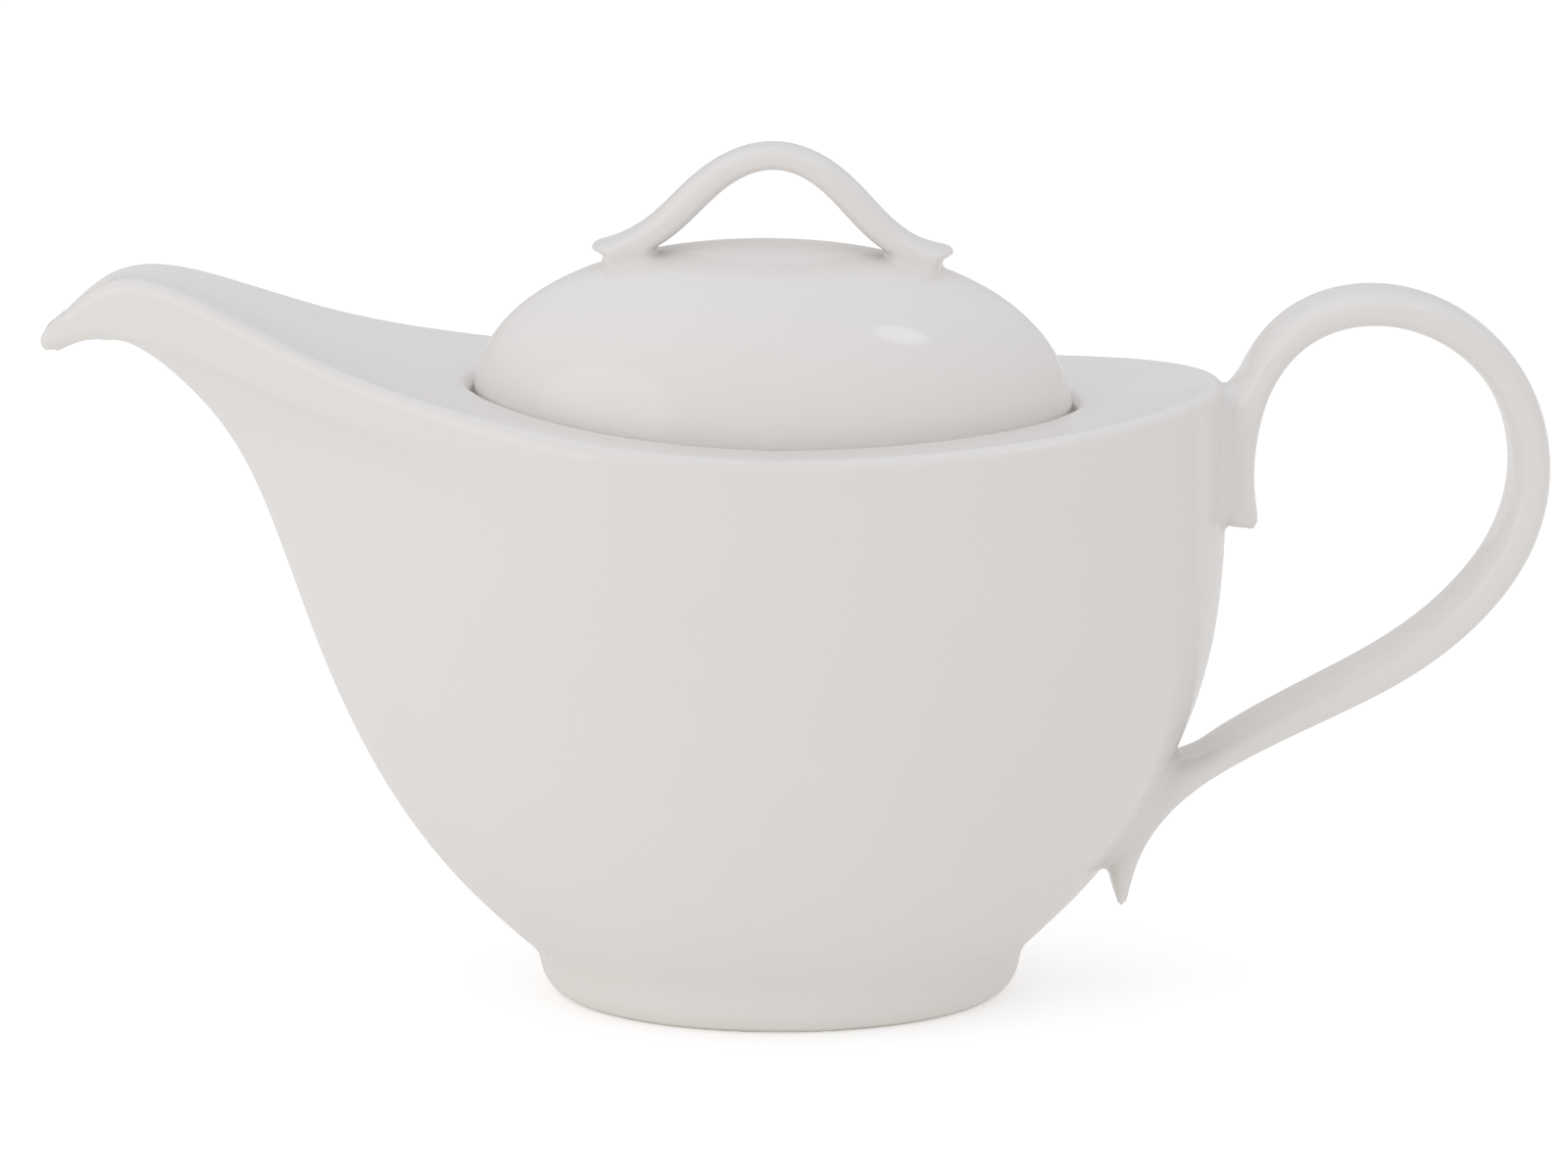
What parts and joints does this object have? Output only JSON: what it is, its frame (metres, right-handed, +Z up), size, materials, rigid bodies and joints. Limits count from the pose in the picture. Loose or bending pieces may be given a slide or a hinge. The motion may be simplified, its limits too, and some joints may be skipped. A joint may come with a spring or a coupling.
{
  "type": "teapot",
  "caption": "Oval glazed porcelain teapot with a beak spout, strap handle, pierced strainer and a domed lift-off lid with a bow.",
  "frame": {"origin": "centre of the footprint's bounding box, on the surface the pot stands on", "axes": "+X from the spout to the handle, +Y across the pot, +Z up"},
  "size_m": [0.2738, 0.1164, 0.1567],
  "materials": {
    "pot_body_glaze": "clear gloss glaze over white porcelain",
    "spout_glaze": "clear gloss glaze over white porcelain",
    "spout_strainer_glaze": "clear gloss glaze over white porcelain",
    "handle_glaze": "clear gloss glaze over white porcelain",
    "foot_bisque": "unglazed bisque base, glazed side",
    "lid_dome_glaze": "clear gloss glaze over white porcelain",
    "lid_collar_glaze": "clear gloss glaze over white porcelain",
    "lid_bow_glaze": "clear gloss glaze over white porcelain"
  },
  "bodies": {
    "pot": {"pot_body": "pot_body_glaze", "spout": "spout_glaze", "spout_strainer": "spout_strainer_glaze", "handle": "handle_glaze", "foot_ring": "foot_bisque"},
    "lid": {"lid_dome": "lid_dome_glaze", "lid_collar": "lid_collar_glaze", "lid_bow": "lid_bow_glaze"}
  },
  "joints": [
    {"name": "lid_lift", "type": "slide", "parent": "pot", "child": "lid", "axis": [0, 0, 1], "range_m": [0, 0.06]}
  ]
}
